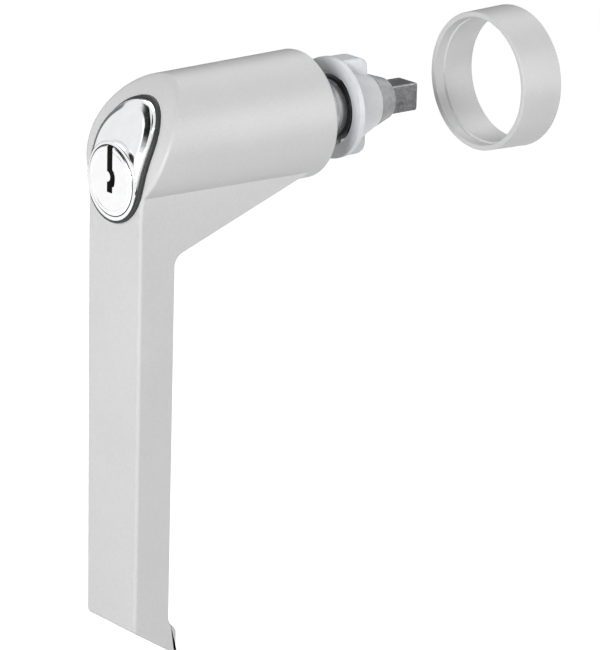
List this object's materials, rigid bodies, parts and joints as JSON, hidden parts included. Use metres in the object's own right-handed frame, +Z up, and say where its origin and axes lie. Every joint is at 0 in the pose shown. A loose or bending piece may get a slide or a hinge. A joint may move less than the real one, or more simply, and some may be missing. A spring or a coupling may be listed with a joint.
{
  "type": "keyed lever handle",
  "caption": "Keyed lever handle: light grey arm and barrel hub, keyed lock in the head, square spindle, nylon door flange and a loose cover ring.",
  "frame": {"origin": "where the spindle's axis crosses the door face, in the plane of the flange's seat", "axes": "+Y along the spindle into the door, -Y towards the user, +X to the user's right, +Z up; the arm hangs down"},
  "size_m": [0.0414, 0.145, 0.1674],
  "materials": {
    "powder_coat": "fine satin powder coat in light grey",
    "bright_chrome": "polished chrome plate",
    "plug_nickel": "fine turned nickel plate",
    "black_rubber": "matt black rubber",
    "dark_steel": "blackened steel",
    "wafer_brass": "stamped brass",
    "spring_steel": "phosphated spring steel",
    "zinc_casting": "dull zinc die casting",
    "bright_steel": "bright turned steel",
    "white_nylon": "moulded natural nylon",
    "drawn_steel": "cold drawn square bar, lightly zinc plated"
  },
  "bodies": {
    "door_fixing": {"mounting_flange": "white_nylon", "index_sleeve": "bright_steel", "sleeve_pins": "dark_steel", "seat_washer": "bright_steel", "flange_circlip": "spring_steel", "hub_circlip": "spring_steel", "thrust_circlip": "spring_steel"},
    "lever": {"lever_casting": "powder_coat", "lock_housing": "bright_chrome", "lock_gasket": "black_rubber", "housing_screw": "dark_steel", "spindle": "drawn_steel", "spindle_nut": "bright_steel", "spindle_collar": "zinc_casting", "collar_pin": "dark_steel", "front_bush": "white_nylon", "rear_bush": "white_nylon", "hub_cap": "zinc_casting", "cap_screws": "dark_steel", "wave_washer": "bright_steel"},
    "plug": {"key_plug": "plug_nickel", "wafer_tumblers": "wafer_brass", "wafer_springs": "spring_steel", "plug_clip": "spring_steel", "lock_cam": "zinc_casting", "cam_rivets": "bright_steel"},
    "bolt": {"locking_bolt": "bright_steel"},
    "ring": {"cover_ring": "powder_coat"}
  },
  "joints": [
    {"name": "lever_turn", "type": "hinge", "parent": "door_fixing", "child": "lever", "pos_m": [0, 0, 0], "axis": [0, 1, 0], "range_deg": [-90, 90]},
    {"name": "key_turn", "type": "hinge", "parent": "lever", "child": "plug", "pos_m": [0, -0.06, -0.00966], "axis": [0, 1, 0], "range_deg": [0, 90]},
    {"name": "bolt_lift", "type": "slide", "parent": "lever", "child": "bolt", "axis": [0, 0, 1], "range_m": [0, 0.00339]},
    {"name": "ring_slide", "type": "slide", "parent": "door_fixing", "child": "ring", "axis": [0, 1, 0], "range_m": [-0.068, 0]}
  ],
  "couplings": [
    {"joint": "key_turn", "follows": "bolt_lift", "rad_per_m": 462.8}
  ]
}
